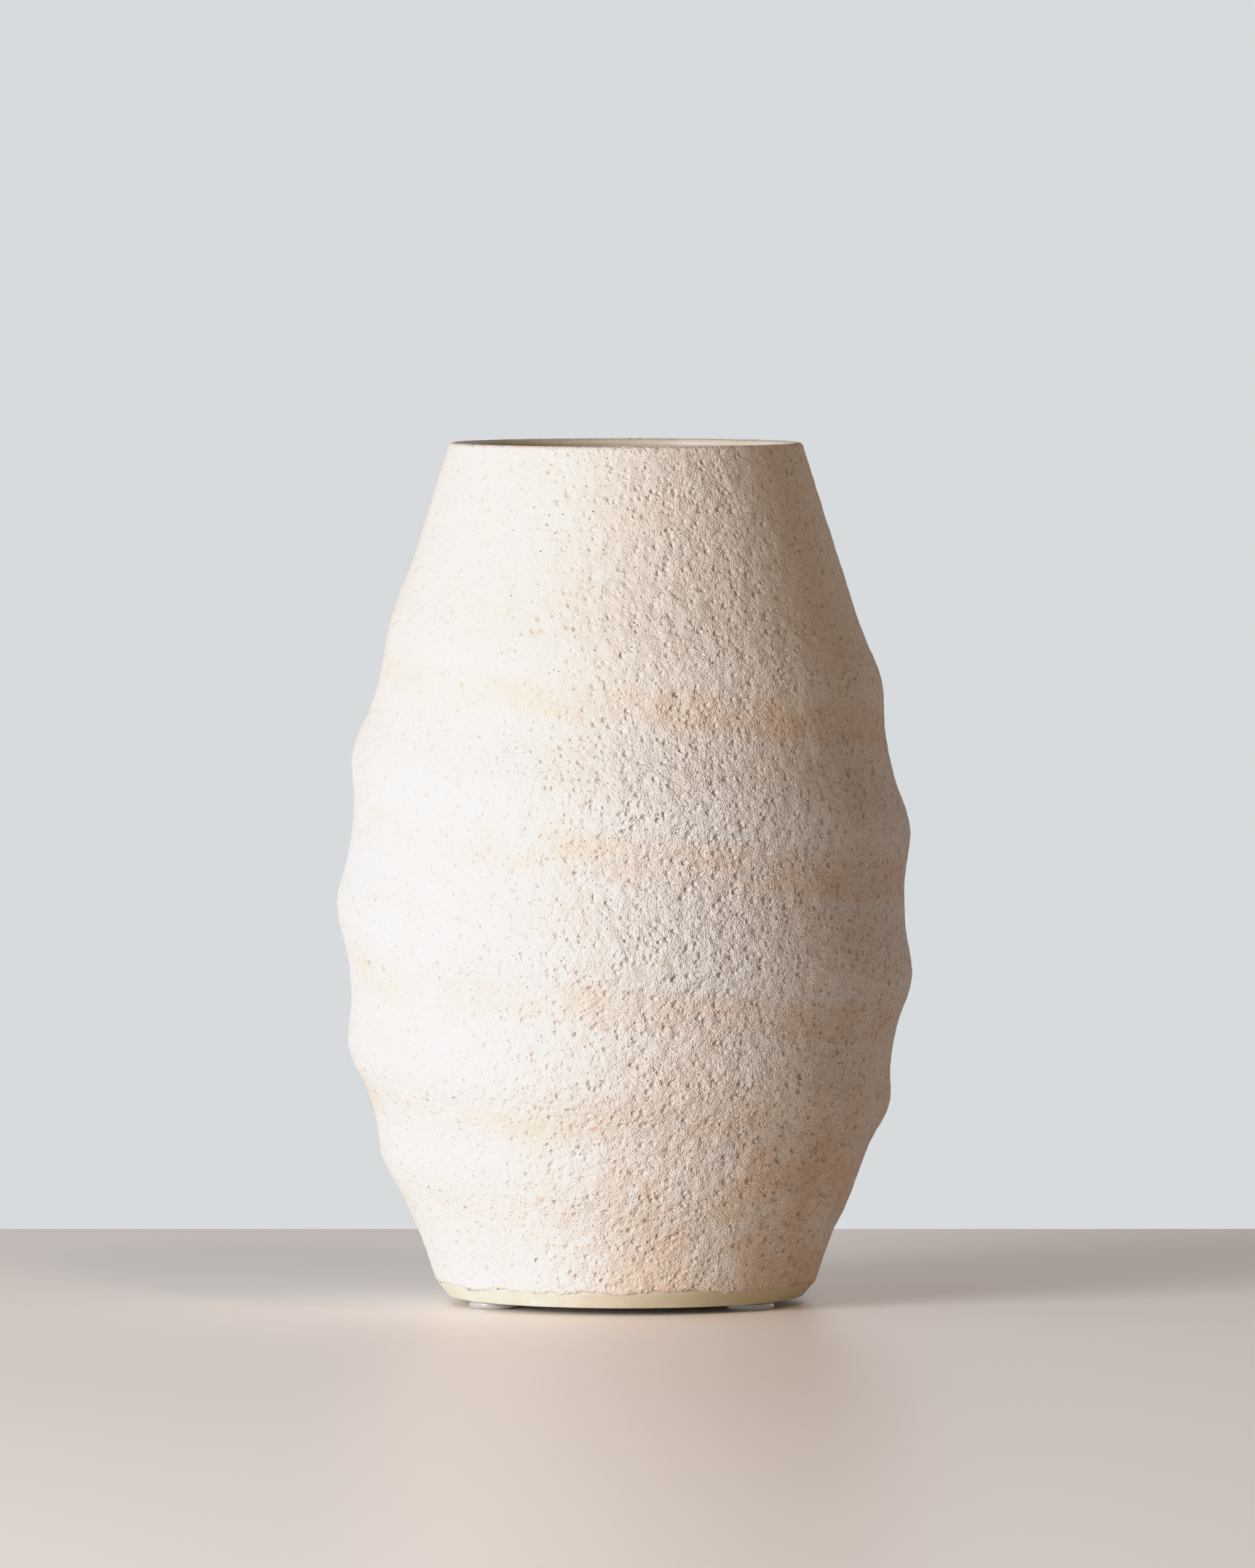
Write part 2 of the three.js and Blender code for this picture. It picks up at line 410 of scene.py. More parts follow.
# %% [markdown]
# ## The wheel
#
# One Geometry Nodes tree is the potter's wheel. It takes a profile and makes a grid with a row for
# each profile point and a column for each step round the axis. Each grid point looks up its
# profile point by its row, and is turned about the axis by its column. Merging the doubles closes
# the seam and the pole. Then two pushes shape the wall:
#
# * the throwing ridge moves points out from the axis by a cosine of turns plus angle, which is
#   what makes it one spiral and not a stack of rings;
# * the relief moves points along their normals, by lumps and shallow craters in millimetres.
#
# A tree is worth it here because every layer of the pot, and every pad, is spun the same way.

# %% The wheel tree: inputs
wheel = bpy.data.node_groups.new("potters_wheel", "GeometryNodeTree")
wheel.interface.new_socket("Geometry", in_out="INPUT", socket_type="NodeSocketGeometry")
WHEEL_INPUTS = {
    "Profile": ("NodeSocketObject", None),
    "Rows": ("NodeSocketInt", 2),
    "Columns": ("NodeSocketInt", 64),
    "Ridge Height": ("NodeSocketFloat", 0.0),
    "Ridge Sharpness": ("NodeSocketFloat", RIDGE_SHARPNESS),
    "Lump Height": ("NodeSocketFloat", 0.0),
    "Lump Size mm": ("NodeSocketFloat", 4.0),
    "Crater Depth": ("NodeSocketFloat", 0.0),
    "Crater Size mm": ("NodeSocketFloat", 2.4),
    "Line Height": ("NodeSocketFloat", 0.0),
    "Line Spacing mm": ("NodeSocketFloat", 3.4),
    "Edge Waver": ("NodeSocketFloat", 0.0),
    "Place": ("NodeSocketVector", (0, 0, 0)),
    "Material": ("NodeSocketMaterial", None),
}
for name, (kind, value) in WHEEL_INPUTS.items():
    socket = wheel.interface.new_socket(name, in_out="INPUT", socket_type=kind)
    if value is not None:
        socket.default_value = value
wheel.interface.new_socket("Geometry", in_out="OUTPUT", socket_type="NodeSocketGeometry")
ask = add(wheel, "NodeGroupInput").outputs

# %% The wheel tree: spinning the profile
SEAM_GAP = 2e-6  # metres; points closer than this are the same point
profile = add(wheel, "GeometryNodeObjectInfo", {"Object": ask["Profile"]}).outputs["Geometry"]
across = add(wheel, MATH, {0: ask["Columns"], 1: 1}, operation="ADD")
grid = add(wheel, "GeometryNodeMeshGrid", {"Vertices X": across, "Vertices Y": ask["Rows"]})
index = add(wheel, "GeometryNodeInputIndex")
row = add(wheel, MATH, {0: index, 1: ask["Rows"]}, operation="FLOORED_MODULO")
columns_in = add(wheel, MATH, {0: index, 1: ask["Rows"]}, operation="DIVIDE")
column = add(wheel, MATH, {0: columns_in}, operation="FLOOR")
step = add(wheel, MATH, {0: 2 * math.pi, 1: ask["Columns"]}, operation="DIVIDE")
angle = add(wheel, MATH, {0: column, 1: step}, operation="MULTIPLY")
at_row = add(wheel, "GeometryNodeSampleIndex", {
    "Geometry": profile,
    "Value": add(wheel, "GeometryNodeInputPosition"),
    "Index": row,
}, data_type="FLOAT_VECTOR")
turned = add(wheel, "ShaderNodeVectorRotate", {"Vector": at_row, "Angle": angle}, rotation_type="Z_AXIS")
spun = add(wheel, "GeometryNodeSetPosition", {"Geometry": grid, "Position": turned})
for name in ("turns", "swell", "relief", "edge"):
    stored = add(wheel, "GeometryNodeInputNamedAttribute", {"Name": name}, data_type="FLOAT")
    looked_up = add(wheel, "GeometryNodeSampleIndex", {"Geometry": profile, "Value": stored, "Index": row})
    spun = add(wheel, "GeometryNodeStoreNamedAttribute",
               {"Geometry": spun, "Name": name, "Value": looked_up}, data_type="FLOAT", domain="POINT")
closed = add(wheel, "GeometryNodeMergeByDistance", {"Geometry": spun, "Distance": SEAM_GAP})

# %% The wheel tree: the throwing ridge
place = add(wheel, "GeometryNodeInputPosition")
parts = add(wheel, "ShaderNodeSeparateXYZ", {"Vector": place}).outputs
outward = add(wheel, VECTOR, {0: add(wheel, "ShaderNodeCombineXYZ", {"X": parts["X"], "Y": parts["Y"]})},
              operation="NORMALIZE")
bearing = add(wheel, MATH, {0: parts["Y"], 1: parts["X"]}, operation="ARCTAN2")
turns = add(wheel, "GeometryNodeInputNamedAttribute", {"Name": "turns"}, data_type="FLOAT")
phase = add(wheel, MATH, {0: turns, 1: 2 * math.pi, 2: bearing}, operation="MULTIPLY_ADD")
twice = add(wheel, MATH, {0: phase, 1: 2}, operation="MULTIPLY")
sharper = add(wheel, MATH, {0: add(wheel, MATH, {0: twice}, operation="COSINE"), 1: ask["Ridge Sharpness"],
                            2: add(wheel, MATH, {0: phase}, operation="COSINE")}, operation="MULTIPLY_ADD")
swell = add(wheel, "GeometryNodeInputNamedAttribute", {"Name": "swell"}, data_type="FLOAT")
crest = add(wheel, MATH, {0: sharper, 1: swell}, operation="MULTIPLY")
lift = add(wheel, MATH, {0: crest, 1: ask["Ridge Height"]}, operation="MULTIPLY")
push = add(wheel, VECTOR, {0: outward, "Scale": lift}, operation="SCALE")
# the 'coat' mark is thin coat and painted shade: it peaks a little above each valley, under the crest
behind = add(wheel, MATH, {0: phase, 1: THIN_COAT_AND_SHADE_PHASE}, operation="SUBTRACT")
above = add(wheel, MATH, {0: behind}, operation="COSINE")
coat = add(wheel, MATH, {0: above, 1: swell}, operation="MULTIPLY")
marked = add(wheel, "GeometryNodeStoreNamedAttribute", {"Geometry": closed, "Name": "coat", "Value": coat},
             data_type="FLOAT", domain="POINT")
ridged = add(wheel, "GeometryNodeSetPosition", {"Geometry": marked, "Offset": push})

# %% The wheel tree: the relief of the surface
CRATER_SHARE = 0.28  # a crater is about this share of its cell wide

# near the foot the lumps are drawn out upwards
in_mm = add(wheel, VECTOR, {0: place, "Scale": 1 / MM}, operation="SCALE")
low_down = add(wheel, RANGE, {"Value": parts["Z"], "From Min": 14 * MM, "From Max": 42 * MM,
                              "To Min": 1.0, "To Max": 0.0}, interpolation_type="SMOOTHSTEP")
drawn_out = add(wheel, VECTOR, {0: in_mm, 1: (1, 1, 0.5)}, operation="MULTIPLY")
sampled = add(wheel, MIX, {"Factor_Float": low_down, "A_Vector": in_mm, "B_Vector": drawn_out},
              data_type="VECTOR").outputs[1]
finest = add(wheel, MATH, {0: 1.0, 1: ask["Lump Size mm"]}, operation="DIVIDE")
lumps = add(wheel, NOISE, {"Vector": sampled, "Scale": finest, "Detail": 1.0, "Roughness": 0.5})
lump_push = add(wheel, MATH, {0: add(wheel, MATH, {0: lumps, 1: 0.5}, operation="SUBTRACT"),
                              1: ask["Lump Height"]}, operation="MULTIPLY")
per_crater = add(wheel, MATH, {0: CRATER_SHARE, 1: ask["Crater Size mm"]}, operation="DIVIDE")
cells = add(wheel, VORONOI, {"Vector": in_mm, "Scale": per_crater})
crater = add(wheel, RANGE, {"Value": cells.outputs["Distance"], "From Min": 0.0, "From Max": 0.15,
                            "To Min": 1.0, "To Max": 0.0}, interpolation_type="SMOOTHSTEP")
crater_push = add(wheel, MATH, {0: crater, 1: ask["Crater Depth"]}, operation="MULTIPLY")
dents = add(wheel, MATH, {0: lump_push, 1: crater_push}, operation="SUBTRACT")
per_line = add(wheel, MATH, {0: 2 * math.pi / MM, 1: ask["Line Spacing mm"]}, operation="DIVIDE")
winding = add(wheel, MATH, {0: parts["Z"], 1: per_line, 2: bearing}, operation="MULTIPLY_ADD")
lines = add(wheel, MATH, {0: add(wheel, MATH, {0: winding}, operation="SINE"), 1: ask["Line Height"],
                          2: dents}, operation="MULTIPLY_ADD")
share = add(wheel, "GeometryNodeInputNamedAttribute", {"Name": "relief"}, data_type="FLOAT")
relief = add(wheel, MATH, {0: lines, 1: share}, operation="MULTIPLY")
normal = add(wheel, "GeometryNodeInputNormal")
along_normal = add(wheel, VECTOR, {0: normal, "Scale": relief}, operation="SCALE")
rough = add(wheel, "GeometryNodeSetPosition", {"Geometry": ridged, "Offset": along_normal})

# %% [markdown]
# Glaze doesn't stop on a ruled line: the sponge that cleans the foot leaves an edge that wanders
# up and down. The lowest rows of a coat are slid along the wall by a slow noise, so the edge
# wavers but stays on the surface.

# %% The wheel tree: the wavering edge, and the end
slow = add(wheel, NOISE, {"Vector": in_mm, "Scale": 1 / 9, "Detail": 3.0, "Roughness": 0.65})
sway = add(wheel, MATH, {0: add(wheel, MATH, {0: slow, 1: 0.5}, operation="SUBTRACT"),
                         1: ask["Edge Waver"]}, operation="MULTIPLY")
edge = add(wheel, "GeometryNodeInputNamedAttribute", {"Name": "edge"}, data_type="FLOAT")
slide = add(wheel, MATH, {0: sway, 1: edge}, operation="MULTIPLY")
foot_slope = (OUTLINE[1, 1] - OUTLINE[0, 1]) / (OUTLINE[1, 0] - OUTLINE[0, 0])
up_wall = add(wheel, VECTOR, {0: outward, "Scale": foot_slope}, operation="SCALE")
up_wall = add(wheel, VECTOR, {0: up_wall, 1: (0, 0, 1)}, operation="ADD")
along_wall = add(wheel, VECTOR, {0: up_wall, "Scale": slide}, operation="SCALE")
slid = add(wheel, "GeometryNodeSetPosition", {"Geometry": rough, "Offset": along_wall})
placed = add(wheel, "GeometryNodeTransform", {"Geometry": slid, "Translation": ask["Place"]})
soft = add(wheel, "GeometryNodeSetShadeSmooth", {"Geometry": placed})
real = add(wheel, "GeometryNodeRealizeInstances", {"Geometry": soft})
finished = add(wheel, "GeometryNodeSetMaterial", {"Geometry": real, "Material": ask["Material"]})
add(wheel, "NodeGroupOutput", {0: finished})
print(f"the wheel has {len(wheel.nodes)} nodes")

# %% [markdown]
# To use the wheel, a profile becomes a small mesh of loose points that carries its numbers, the
# modifier is given its inputs, and the result is taken off the wheel as a plain mesh.

# %% Spinning a piece
WAVERING_BAND = 6 * MM  # height above the glaze line over which the wavering dies out


def spin(name, loop, material, relief=None, **sizes):
    mesh = bpy.data.meshes.new(name + "_profile")
    mesh.from_pydata([(radius, 0, z) for radius, z in loop], [], [])
    z = loop[:, 1]
    numbers = {
        "turns": turns_below(z),
        "swell": smoothstep(*RIDGE_START, z) * (1 - smoothstep(*RIDGE_END, z)),
        "relief": np.zeros(len(loop)) if relief is None else relief,
        "edge": 1 - smoothstep(glaze_line, glaze_line + WAVERING_BAND, z),
    }
    for key, values in numbers.items():
        attribute = mesh.attributes.new(key, "FLOAT", "POINT")
        attribute.data.foreach_set("value", np.asarray(values, np.float32))
    profile_points = bpy.data.objects.new(name + "_profile", mesh)
    blank = bpy.data.objects.new(name + "_blank", bpy.data.meshes.new(name + "_blank"))
    scene.collection.objects.link(profile_points)
    scene.collection.objects.link(blank)
    modifier = blank.modifiers.new("Wheel", "NODES")
    modifier.node_group = wheel
    inputs = {"Profile": profile_points, "Rows": len(loop), "Material": material}
    for key, value in sizes.items():
        inputs[key.replace("_", " ").title().replace(" Mm", " mm")] = value
    sockets = {s.name: s.identifier for s in wheel.interface.items_tree if s.in_out == "INPUT"}
    for key, value in inputs.items():
        modifier[sockets[key]] = value
    result = blank.evaluated_get(bpy.context.evaluated_depsgraph_get())
    piece = bpy.data.objects.new(name, bpy.data.meshes.new_from_object(result))
    piece.data.materials.pop(index=0)  # the empty slot that the grid comes with
    scene.collection.objects.link(piece)
    bpy.data.objects.remove(blank)
    bpy.data.objects.remove(profile_points)
    piece.data.name = name
    triangles = sum(len(face.vertices) - 2 for face in piece.data.polygons)
    print(f"{name}: {triangles} triangles")
    return piece


def finish_piece(piece, node):
    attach(piece, "root")
    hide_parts(node)

# %% [markdown]
# ## Crater glaze
#
# The outer glaze is a dry stoneware matte: a stiff, under-melted coat full of bubbles that burst
# in the fire and never healed. What the eye gets from that is, from large to small:
#
# * a warm white that leans to peach where the coat is thin in the valleys of the ridge, with painted
#   shade under the crests and painted warm bounce light near the foot, both stronger towards +X;
# * lumps 2 to 4 mm across, with almost no shine;
# * burst bubbles up to 2 mm across with tan bottoms, pinholes that go down to dark clay, and iron
#   freckles that bleed through from the body.
#
# Bubbles are spheres, so spheres are what the shader cuts: a 3D Voronoi texture scatters centres
# in the glaze, and wherever the surface passes near a centre it shows a round of its own size.

# %% Matte crater glaze
def new_material(name):
    material = bpy.data.materials.new(name)
    material.use_nodes = True
    tree = material.node_tree
    tree.nodes.clear()
    to_mm = add(tree, "ShaderNodeMapping", {"Vector": add(tree, "ShaderNodeTexCoord").outputs["Object"],
                                            "Scale": (1 / MM, 1 / MM, 1 / MM)})
    return material, tree, to_mm


def finish_material(tree, colour, height_mm, **settings):
    """Shader and output: colour and a height in millimetres, then constants on the shader."""
    bump = add(tree, "ShaderNodeBump", {"Height": height_mm, "Distance": MM, "Strength": 1.0})
    constants = {key.replace("_", " "): value for key, value in settings.items()}
    shader = add(tree, "ShaderNodeBsdfPrincipled", {"Base Color": colour, "Normal": bump, **constants})
    add(tree, "ShaderNodeOutputMaterial", {"Surface": shader})


crater_glaze, tree, mm = new_material("dry_matte_crater_glaze")

# broad drifts of colour, 20 to 40 mm across
drift = add(tree, NOISE, {"Vector": mm, "Scale": 1 / 22, "Detail": 3.0, "Roughness": 0.6})
warm = add(tree, RANGE, {"Value": drift.outputs["Fac"], "From Min": 0.42, "From Max": 0.68,
                         "To Min": 0.0, "To Max": 0.35}, interpolation_type="SMOOTHSTEP")
colour = add(tree, MIX, {"Factor_Float": warm, "A_Color": linear("#ece6de"), "B_Color": linear("#e9d8c6")},
             data_type="RGBA").outputs[2]
olive_drift = add(tree, NOISE, {"Vector": mm, "Scale": 1 / 9, "Detail": 4.0, "Roughness": 0.7})
olive = add(tree, RANGE, {"Value": olive_drift.outputs["Fac"], "From Min": 0.5, "From Max": 0.72,
                          "To Min": 0.0, "To Max": 0.3}, interpolation_type="SMOOTHSTEP")
colour = add(tree, MIX, {"Factor_Float": olive, "A_Color": colour, "B_Color": linear("#e0d9c9")},
             data_type="RGBA").outputs[2]

# creamier on the shoulder, and a little darker there as painted shade, since it faces up, away from the
# low window
where = add(tree, "ShaderNodeSeparateXYZ", {"Vector": mm}).outputs
shoulder_tone_and_shade = add(tree, RANGE, {"Value": where["Z"], "From Min": 125.0, "From Max": 190.0,
                             "To Min": 0.0, "To Max": 0.32}, interpolation_type="SMOOTHSTEP")
colour = add(tree, MIX, {"Factor_Float": shoulder_tone_and_shade, "A_Color": colour, "B_Color": linear("#d8c8ae")},
             data_type="RGBA").outputs[2]

# peach in the valleys of the ridge, where the coat is thin, and painted shade: the tint grows towards +X,
# where the wall turns from the window; near the foot, towards +X, it is painted warm bounce light
shade_side_tint = add(tree, RANGE, {"Value": where["X"], "From Min": -40.0, "From Max": 45.0,
                                "To Min": 0.15, "To Max": 1.0}, interpolation_type="SMOOTHSTEP")
near_foot = add(tree, RANGE, {"Value": where["Z"], "From Min": 85.0, "From Max": 35.0,
                              "To Min": 0.0, "To Max": 0.75}, interpolation_type="SMOOTHSTEP")
coat = add(tree, "ShaderNodeAttribute", attribute_name="coat").outputs["Fac"]
valley = add(tree, RANGE, {"Value": coat, "From Min": -0.3, "From Max": -0.95,
                           "To Min": 0.0, "To Max": 0.5}, interpolation_type="SMOOTHSTEP")
# painted shade and painted warm bounce light: the peach grows towards +X, away from the window
thin_coat_and_shade = add(tree, MATH, {0: near_foot, 1: shade_side_tint}, operation="MULTIPLY")
valley_shade_side = add(tree, RANGE, {"Value": shade_side_tint, "To Min": 0.65, "To Max": 1.0})
valley = add(tree, MATH, {0: valley, 1: valley_shade_side}, operation="MULTIPLY")
thin_coat_and_shade = add(tree, MATH, {0: valley, 1: thin_coat_and_shade}, operation="MAXIMUM")
patches = add(tree, NOISE, {"Vector": mm, "Scale": 1 / 16, "Detail": 4.0, "Roughness": 0.65})
patchy = add(tree, RANGE, {"Value": patches, "From Min": 0.36, "From Max": 0.62,
                           "To Min": 0.2, "To Max": 1.0}, interpolation_type="SMOOTHSTEP")
thin_coat_and_shade = add(tree, MATH, {0: thin_coat_and_shade, 1: patchy}, operation="MULTIPLY")
colour = add(tree, MIX, {"Factor_Float": thin_coat_and_shade, "A_Color": colour, "B_Color": linear("#e2be97")},
             data_type="RGBA").outputs[2]

# the grain of a dry glaze is about 0.25 mm; drawn at 0.45 mm, so that it still shows
grain = add(tree, NOISE, {"Vector": mm, "Scale": 1 / 0.45, "Detail": 1.0, "Roughness": 0.6})
dusty = add(tree, RANGE, {"Value": grain.outputs["Fac"], "From Min": 0.3, "From Max": 0.7,
                          "To Min": 0.3, "To Max": 0.0})
colour = add(tree, MIX, {"Factor_Float": dusty, "A_Color": colour, "B_Color": linear("#b9a793")},
             data_type="RGBA").outputs[2]

# nothing in a crawled coat is quite round, so lumps and bubbles are looked up at a jostled place
jostle = add(tree, NOISE, {"Vector": mm, "Scale": 1 / 1.1, "Detail": 1.0}).outputs["Color"]
jostle = add(tree, VECTOR, {0: jostle, 1: (0.5, 0.5, 0.5)}, operation="SUBTRACT")
jostled = add(tree, VECTOR, {0: jostle, 1: (0.7, 0.7, 0.7), 2: mm}, operation="MULTIPLY_ADD")

# iron freckles: soft tan rounds up to 2.8 mm, broken up by the grain
freckle_cells = add(tree, VORONOI, {"Vector": jostled, "Scale": 1 / 9.5})
freckle = add(tree, RANGE, {"Value": freckle_cells.outputs["Distance"], "From Min": 0.04, "From Max": 0.15,
                            "To Min": 1.0, "To Max": 0.0}, interpolation_type="SMOOTHSTEP")
speckled = add(tree, RANGE, {"Value": grain.outputs["Fac"], "From Min": 0.38, "From Max": 0.62,
                             "To Min": 0.1, "To Max": 0.6})
freckle = add(tree, MATH, {0: freckle, 1: speckled.outputs[0]}, operation="MULTIPLY")
colour = add(tree, MIX, {"Factor_Float": freckle, "A_Color": colour, "B_Color": linear("#c19872")},
             data_type="RGBA").outputs[2]

# burst bubbles: each its own size, up to 2.2 mm across at the rim, granular at the bottom
bubble_cells = add(tree, VORONOI, {"Vector": jostled, "Scale": 1 / 3.4})
bubble_size = add(tree, RANGE, {"Value": bubble_cells.outputs["Color"], "From Min": 0.25, "From Max": 0.75,
                                "To Min": 0.1, "To Max": 0.33})
bubble_share = add(tree, MATH, {0: bubble_cells.outputs["Distance"], 1: bubble_size}, operation="DIVIDE")
bubble = add(tree, RANGE, {"Value": bubble_share, "From Min": 0.0, "From Max": 1.0,
                           "To Min": 1.0, "To Max": 0.0}, interpolation_type="SMOOTHSTEP")
bubble_tint = add(tree, MATH, {0: bubble, 1: speckled}, operation="MULTIPLY")
colour = add(tree, MIX, {"Factor_Float": bubble_tint, "A_Color": colour, "B_Color": linear("#a9835f")},
             data_type="RGBA").outputs[2]

# small pits between them, tan, soft-edged and 0.8 mm across at most
pit_cells = add(tree, VORONOI, {"Vector": jostled, "Scale": 1 / 1.9})
pit = add(tree, RANGE, {"Value": pit_cells.outputs["Distance"], "From Min": 0.04, "From Max": 0.2,
                        "To Min": 1.0, "To Max": 0.0}, interpolation_type="SMOOTHSTEP")
pit_tint = add(tree, MATH, {0: pit, 1: 0.4}, operation="MULTIPLY")
colour = add(tree, MIX, {"Factor_Float": pit_tint, "A_Color": colour, "B_Color": linear("#ab8a6b")},
             data_type="RGBA").outputs[2]

# pinholes: 0.4 to 0.5 mm across and nearly black; they are wider high on the front
PINHOLE_PATCH = (-12, -52, 198)
from_patch = add(tree, VECTOR, {0: mm, 1: PINHOLE_PATCH}, operation="DISTANCE").outputs["Value"]
gathered = add(tree, RANGE, {"Value": from_patch, "From Min": 14.0, "From Max": 46.0,
                             "To Min": 1.0, "To Max": 0.0}, interpolation_type="SMOOTHSTEP")
pin_cells = add(tree, VORONOI, {"Vector": mm, "Scale": 1 / 3.0})
widest = add(tree, RANGE, {"Value": gathered, "To Min": 0.06, "To Max": 0.085})
pin_share = add(tree, MATH, {0: pin_cells.outputs["Distance"], 1: widest}, operation="DIVIDE")
pinhole = add(tree, RANGE, {"Value": pin_share, "From Min": 0.55, "From Max": 1.0,
                            "To Min": 1.0, "To Max": 0.0}, interpolation_type="SMOOTHSTEP")
colour = add(tree, MIX, {"Factor_Float": pinhole, "A_Color": colour, "B_Color": linear("#3b2c20")},
             data_type="RGBA").outputs[2]

# height in millimetres: rounded dimples, slow swells, grain, bubbles, pits and pinholes
dimple_cells = add(tree, VORONOI, {"Vector": jostled, "Scale": 1 / 2.2})
dimple = add(tree, RANGE, {"Value": dimple_cells.outputs["Distance"], "From Min": 0.0, "From Max": 0.5,
                           "To Min": -0.5, "To Max": 0.0}, interpolation_type="SMOOTHSTEP")
dimple = add(tree, MATH, {0: dimple, 1: dimple_cells.outputs["Color"]}, operation="MULTIPLY")
swelling = add(tree, NOISE, {"Vector": mm, "Scale": 1 / 3.6, "Detail": 2.0, "Roughness": 0.45})
relief_mm = add(tree, MATH, {0: swelling.outputs["Fac"], 1: 0.75, 2: dimple}, operation="MULTIPLY_ADD")
relief_mm = add(tree, MATH, {0: grain.outputs["Fac"], 1: 0.3, 2: relief_mm}, operation="MULTIPLY_ADD")
relief_mm = add(tree, MATH, {0: bubble, 1: -0.38, 2: relief_mm}, operation="MULTIPLY_ADD")
relief_mm = add(tree, MATH, {0: pit, 1: -0.2, 2: relief_mm}, operation="MULTIPLY_ADD")
relief_mm = add(tree, MATH, {0: pinhole, 1: -0.2, 2: relief_mm}, operation="MULTIPLY_ADD")

# the relief is drawn stronger towards +X, where the light leaves the wall, and calmer on the shoulder
coarse = add(tree, RANGE, {"Value": where["X"], "From Min": -40.0, "From Max": 70.0,
                           "To Min": 0.9, "To Max": 3.4}, interpolation_type="SMOOTHSTEP")
calmer = add(tree, RANGE, {"Value": where["Z"], "From Min": 120.0, "From Max": 195.0,
                           "To Min": 1.0, "To Max": 0.62}, interpolation_type="SMOOTHSTEP")
coarse = add(tree, MATH, {0: coarse, 1: calmer}, operation="MULTIPLY")
relief_mm = add(tree, MATH, {0: relief_mm, 1: coarse}, operation="MULTIPLY")
finish_material(tree, colour, relief_mm, Roughness=0.92, IOR=1.5, Specular_IOR_Level=0.25)
print(f"crater glaze: {len(tree.nodes)} nodes")

# %% [markdown]
# ## Inner glaze, clay, pad and film
#
# The inner glaze melted properly, so it is smooth and a little glossy, with only a soft mottle and
# a few specks; painted shade darkens it on the side that the lip shades. The bare clay of the foot
# was sponged: smooth, cream to olive, with fine sand in it, and painted shade darkens it towards +X.
# The pads are clear soft polyurethane: light goes through them and blurs.

# %% Satin inner glaze
liner_glaze, tree, mm = new_material("satin_liner_glaze")
cloud = add(tree, NOISE, {"Vector": mm, "Scale": 1 / 14, "Detail": 4.0, "Roughness": 0.6})
cloud_share = add(tree, RANGE, {"Value": cloud.outputs["Fac"], "From Min": 0.35, "From Max": 0.7})
colour = add(tree, MIX, {"Factor_Float": cloud_share, "A_Color": linear("#ddd3c0"),
                         "B_Color": linear("#d0c4a8")}, data_type="RGBA").outputs[2]
# painted shade: darker and more olive towards -X, which is the side that the lip shades
across_hollow = add(tree, "ShaderNodeSeparateXYZ", {"Vector": mm}).outputs["X"]
lip_shade_side = add(tree, RANGE, {"Value": across_hollow, "From Min": 15.0, "From Max": -45.0,
                               "To Min": 0.0, "To Max": 0.75}, interpolation_type="SMOOTHSTEP")
colour = add(tree, MIX, {"Factor_Float": lip_shade_side, "A_Color": colour, "B_Color": linear("#8d8770")},
             data_type="RGBA").outputs[2]
speck_cells = add(tree, VORONOI, {"Vector": mm, "Scale": 1 / 6})
speck = add(tree, RANGE, {"Value": speck_cells.outputs["Distance"], "From Min": 0.03, "From Max": 0.07,
                          "To Min": 0.8, "To Max": 0.0})
colour = add(tree, MIX, {"Factor_Float": speck, "A_Color": colour, "B_Color": linear("#8a6d4c")},
             data_type="RGBA").outputs[2]
orange_peel = add(tree, NOISE, {"Vector": mm, "Scale": 1 / 3.5, "Detail": 2.0})
liner_mm = add(tree, MATH, {0: orange_peel.outputs["Fac"], 1: 0.12}, operation="MULTIPLY")
finish_material(tree, colour, liner_mm, Roughness=0.38, IOR=1.52, Specular_IOR_Level=0.45)

# %% Sponged stoneware
bare_clay, tree, mm = new_material("sponged_stoneware")
tone = add(tree, NOISE, {"Vector": mm, "Scale": 1 / 12, "Detail": 4.0, "Roughness": 0.65})
tone_share = add(tree, RANGE, {"Value": tone.outputs["Fac"], "From Min": 0.35, "From Max": 0.68})
colour = add(tree, MIX, {"Factor_Float": tone_share, "A_Color": linear("#e6dfce"),
                         "B_Color": linear("#d6ccb3")}, data_type="RGBA").outputs[2]
# painted shade: a darker, olive-brown tone towards +X, the side turned away from the window
across_foot = add(tree, "ShaderNodeSeparateXYZ", {"Vector": mm}).outputs["X"]
clay_shade_side = add(tree, RANGE, {"Value": across_foot, "From Min": -30.0, "From Max": 35.0,
                            "To Min": 0.0, "To Max": 0.85}, interpolation_type="SMOOTHSTEP")
colour = add(tree, MIX, {"Factor_Float": clay_shade_side, "A_Color": colour, "B_Color": linear("#b5a680")},
             data_type="RGBA").outputs[2]
sand = add(tree, NOISE, {"Vector": mm, "Scale": 1 / 0.5, "Detail": 2.0, "Roughness": 0.7})
sand_share = add(tree, RANGE, {"Value": sand.outputs["Fac"], "From Min": 0.6, "From Max": 0.72,
                               "To Min": 0.0, "To Max": 0.5})
colour = add(tree, MIX, {"Factor_Float": sand_share, "A_Color": colour, "B_Color": linear("#b9a37c")},
             data_type="RGBA").outputs[2]
clay_mm = add(tree, MATH, {0: sand.outputs["Fac"], 1: 0.06}, operation="MULTIPLY")
finish_material(tree, colour, clay_mm, Roughness=0.78, IOR=1.5, Specular_IOR_Level=0.3)

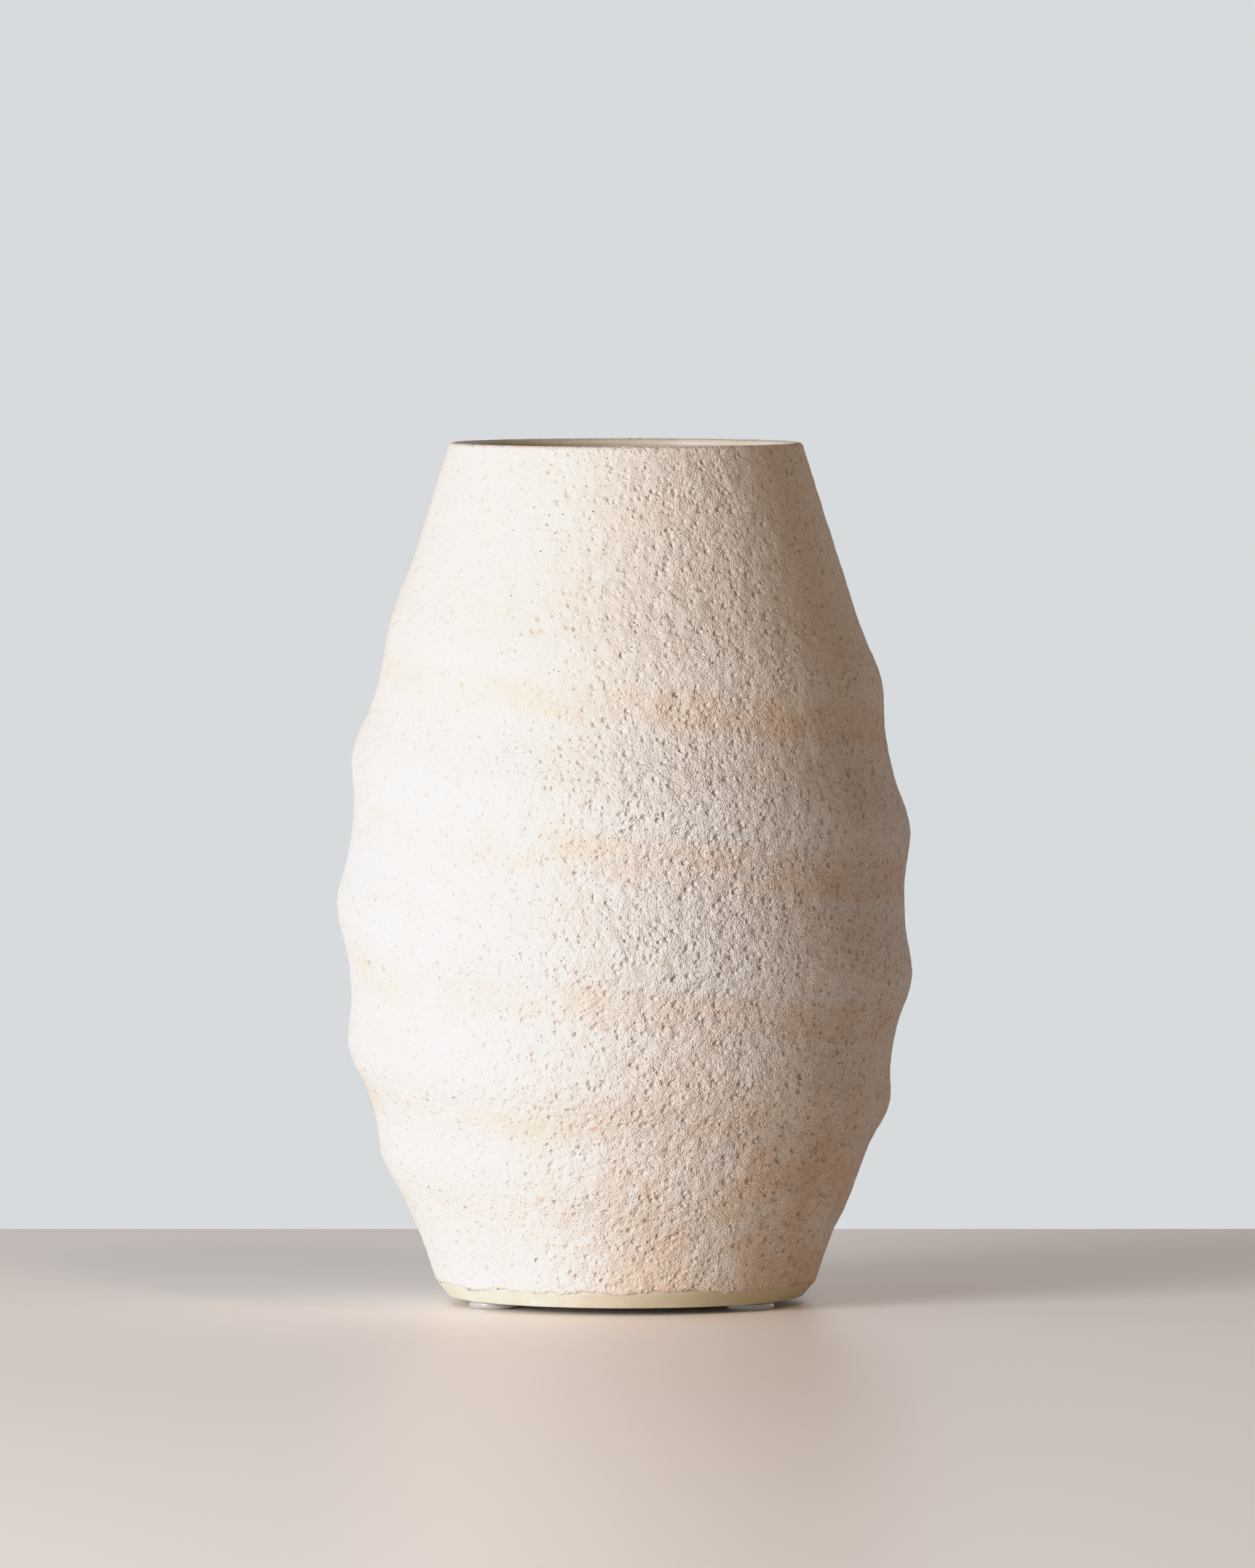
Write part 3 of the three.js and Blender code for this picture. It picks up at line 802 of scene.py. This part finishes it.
# %% Clear pad and adhesive film
clear_pad, tree, mm = new_material("clear_polyurethane_pad")
haze = add(tree, NOISE, {"Vector": mm, "Scale": 1 / 2, "Detail": 2.0})
colour = add(tree, MIX, {"Factor_Float": haze.outputs["Fac"], "A_Color": linear("#f3efe9"),
                         "B_Color": linear("#e6e0d6")}, data_type="RGBA").outputs[2]
pad_mm = add(tree, MATH, {0: haze.outputs["Fac"], 1: 0.03}, operation="MULTIPLY")
finish_material(tree, colour, pad_mm, Roughness=0.28, IOR=1.49, Transmission_Weight=0.55)

film, tree, mm = new_material("acrylic_adhesive_film")
streak = add(tree, NOISE, {"Vector": mm, "Scale": 1 / 1.2, "Detail": 3.0})
colour = add(tree, MIX, {"Factor_Float": streak.outputs["Fac"], "A_Color": linear("#e9e3d6"),
                         "B_Color": linear("#d3cab7")}, data_type="RGBA").outputs[2]
film_mm = add(tree, MATH, {0: streak.outputs["Fac"], 1: 0.02}, operation="MULTIPLY")
finish_material(tree, colour, film_mm, Roughness=0.35, IOR=1.47, Transmission_Weight=0.3)
print("liner, clay, pad and film materials")

# %% [markdown]
# ## Throwing the pot
#
# Three spins make the pot. The outer coat gets the finest grid, a little over a millimetre, because
# its lumps and craters are real shape; the clay inside it only shows at the foot, so it needs less.

# %% Outer glaze, inner glaze and clay body
outer = spin("matte_glaze_coat", np.vstack([outer_loop, outer_loop[:1]]), crater_glaze,
             relief=np.append(outer_relief, outer_relief[0]), columns=420, ridge_height=RIDGE_HEIGHT,
             lump_height=0.5 * MM, lump_size_mm=5.0, crater_depth=0.2 * MM, crater_size_mm=2.2,
             line_height=0.03 * MM, line_spacing_mm=3.4, edge_waver=5 * MM)
finish_piece(outer, "outer_glaze")

inner = spin("satin_liner_coat", liner_loop, liner_glaze, relief=liner_relief, columns=300,
             ridge_height=RIDGE_HEIGHT, line_height=0.1 * MM, line_spacing_mm=5.5)
finish_piece(inner, "liner_glaze")

clay = spin("thrown_clay_body", clay_loop, bare_clay, columns=256, ridge_height=RIDGE_HEIGHT)
finish_piece(clay, "stoneware_body")

# %% [markdown]
# ## Three pads
#
# A stick-on pad is a low disc with a rounded sole, so it is spun on the same wheel, three times,
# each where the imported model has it. A film of adhesive just smaller than the pad lies between it
# and the foot ring.

# %% Pads and films
PLACES = ("front_right", "front_left", "rear")
PAD_EDGE = 0.85 * MM
PAD_SHOULDER = 0.15 * MM

for spot in PLACES:
    low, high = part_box(f"foot_pad_{spot}")
    radius = (high.x - low.x) / 2
    thick = high.z - low.z
    centre = Vector(((low.x + high.x) / 2, (low.y + high.y) / 2, low.z))
    sole = arc((radius - PAD_EDGE, PAD_EDGE), PAD_EDGE, -math.pi / 2, 0, 9)
    upper_edge = arc((radius - PAD_SHOULDER, thick - PAD_SHOULDER), PAD_SHOULDER, 0, math.pi / 2, 4)
    pad = spin(f"clear_pad_{spot}", np.vstack([[(0, 0), (radius / 2, 0)], sole, upper_edge, [(0, thick)]]),
               clear_pad, columns=72, place=centre)
    finish_piece(pad, f"foot_pad_{spot}")

    low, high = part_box(f"pad_adhesive_{spot}")
    film_radius = (high.x - low.x) / 2
    film_thick = high.z - low.z
    film_round = film_thick / 2
    film_edge = arc((film_radius - film_round, film_round), film_round, -math.pi / 2, math.pi / 2, 6)
    disc = spin(f"adhesive_film_{spot}", np.vstack([[(0, 0)], film_edge, [(0, film_thick)]]),
                film, columns=72, place=Vector((centre.x, centre.y, low.z)))
    finish_piece(disc, f"pad_adhesive_{spot}")
